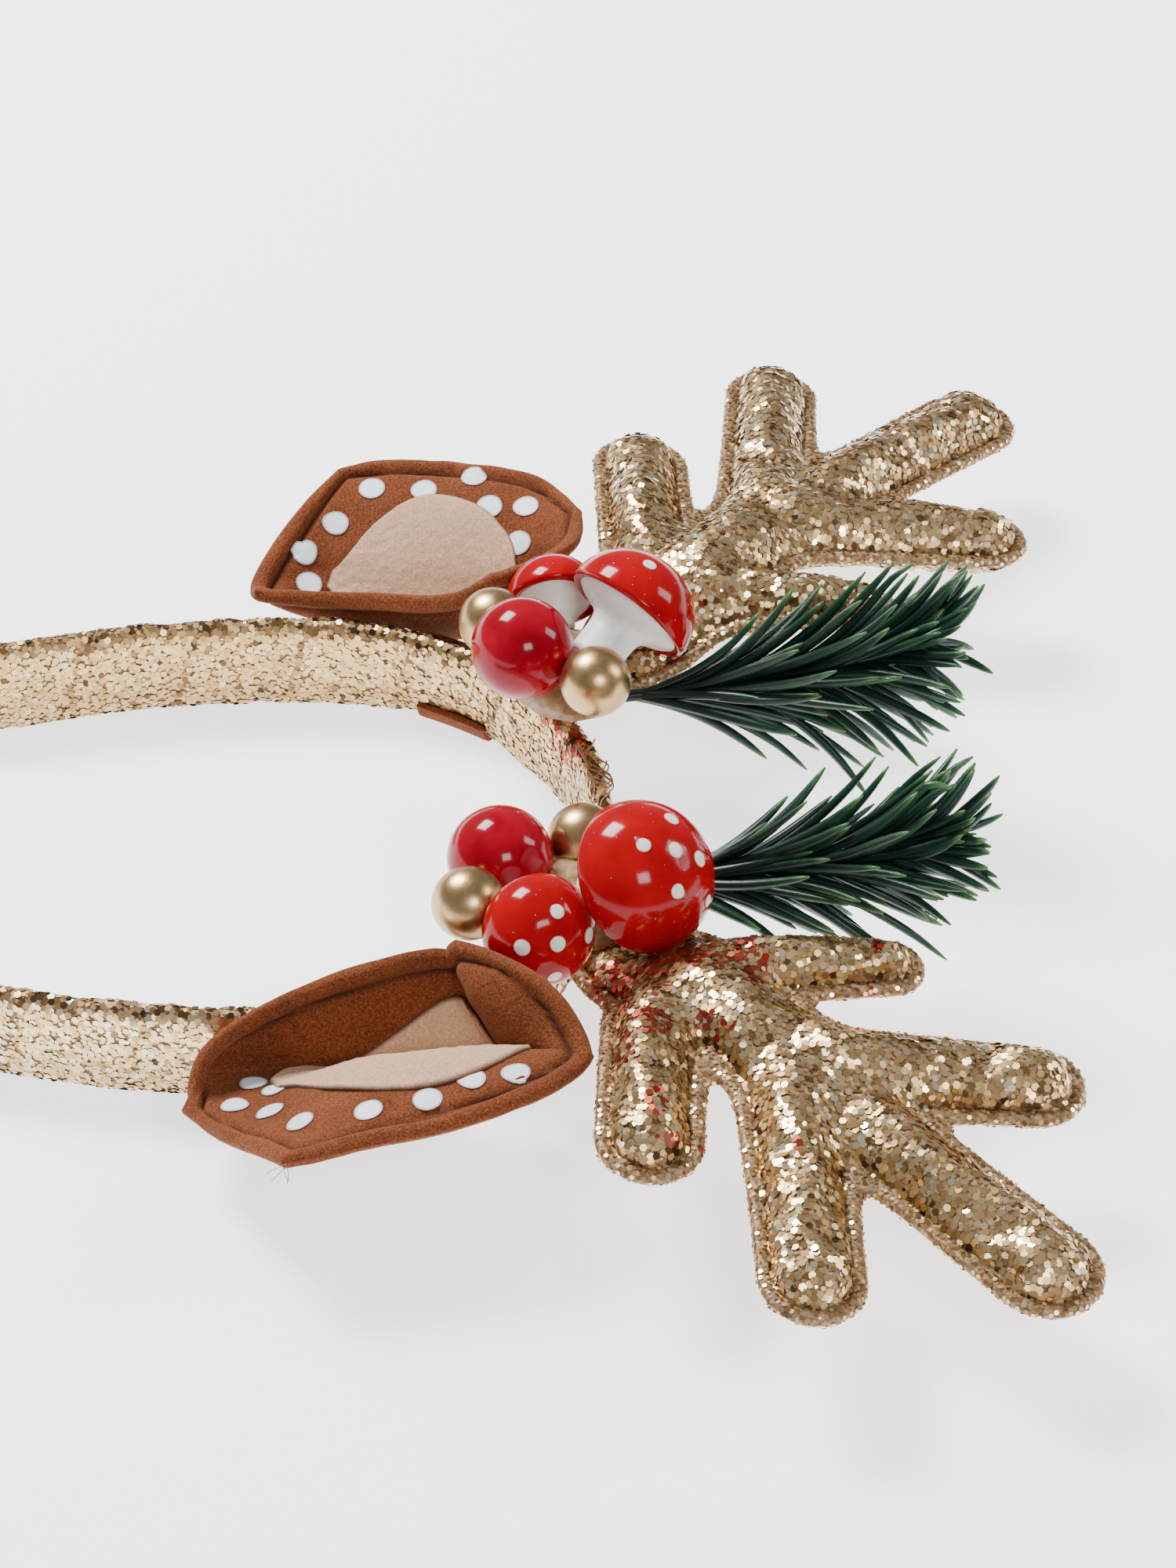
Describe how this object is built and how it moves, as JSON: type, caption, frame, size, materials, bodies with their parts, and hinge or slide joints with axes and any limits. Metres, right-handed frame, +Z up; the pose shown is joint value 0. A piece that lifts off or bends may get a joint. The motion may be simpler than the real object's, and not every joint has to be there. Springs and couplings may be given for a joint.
{
  "type": "antler headband",
  "caption": "Reindeer costume headband: glittery stuffed antlers, cupped suede ears, toadstools, berries, gold beads and pine sprigs on a padded open hoop.",
  "frame": {"origin": "centre of the headband's bounding box on the plane its band's lower edge lies on", "axes": "+X towards the crown, where the antlers point; +Y to the wearer's right; +Z up from the table, towards the wearer's front"},
  "size_m": [0.218, 0.2796, 0.052],
  "materials": {
    "band_glitter": "champagne gold glitter cloth over a plastic hoop",
    "antler_glitter": "champagne gold glitter cloth, stuffed",
    "ear_suede": "brown suede cloth",
    "tab_suede": "brown suede cloth",
    "ear_fleece": "beige fleece",
    "berry_red": "glossy crimson",
    "bead_gold": "satin champagne gold",
    "cap_red": "glossy bright red with off-white dots",
    "stem_white": "off-white",
    "glue": "milky hot-melt glue",
    "pine_green": "semi-gloss dark green"
  },
  "bodies": {
    "root": {"band": "band_glitter", "antler_left": "antler_glitter", "antler_right": "antler_glitter", "ear_left": "ear_suede", "ear_right": "ear_suede", "ear_patch_left": "ear_fleece", "ear_patch_right": "ear_fleece", "ear_tab_left": "tab_suede", "ear_tab_right": "tab_suede", "berry_left": "berry_red", "berry_right": "berry_red", "gold_bead_a_left": "bead_gold", "gold_bead_a_right": "bead_gold", "gold_bead_b_left": "bead_gold", "gold_bead_b_right": "bead_gold", "toadstool_cap_small_left": "cap_red", "toadstool_cap_small_right": "cap_red", "toadstool_cap_big_left": "cap_red", "toadstool_cap_big_right": "cap_red", "toadstool_stem_small_left": "stem_white", "toadstool_stem_small_right": "stem_white", "toadstool_stem_big_left": "stem_white", "toadstool_stem_big_right": "stem_white", "glue_bed_left": "glue", "glue_bed_right": "glue", "sprig_left": "pine_green", "sprig_right": "pine_green"}
  },
  "joints": []
}
